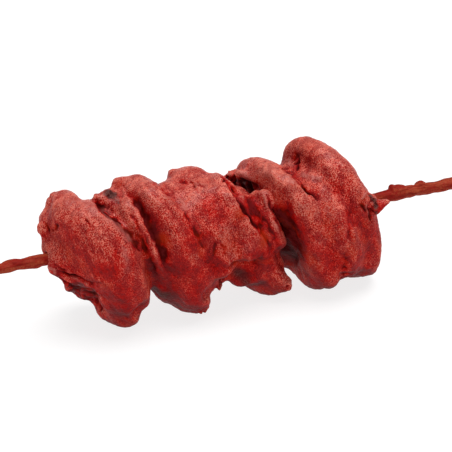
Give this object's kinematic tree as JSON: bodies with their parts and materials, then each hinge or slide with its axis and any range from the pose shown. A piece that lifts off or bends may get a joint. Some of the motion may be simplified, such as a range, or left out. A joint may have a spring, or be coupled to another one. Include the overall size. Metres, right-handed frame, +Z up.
{
  "type": "grilled meat skewer",
  "caption": "Folded strips of red-sauced grilled meat threaded on a thin wooden stick with a sharpened tip.",
  "frame": {"origin": "on the surface the skewer lies on, under the middle of its bounding box", "axes": "+X along the stick from its sharpened tip to its handle end, +Y across the folds, +Z up"},
  "size_m": [0.2, 0.0446, 0.0527],
  "materials": {
    "sauced_wood": "bamboo under a thin dried red sauce",
    "sauced_meat": "satin, grainy cooked meat under a red sauce"
  },
  "bodies": {
    "root": {"stick": "sauced_wood", "tip_strip": "sauced_meat", "handle_strip": "sauced_meat"}
  },
  "joints": []
}
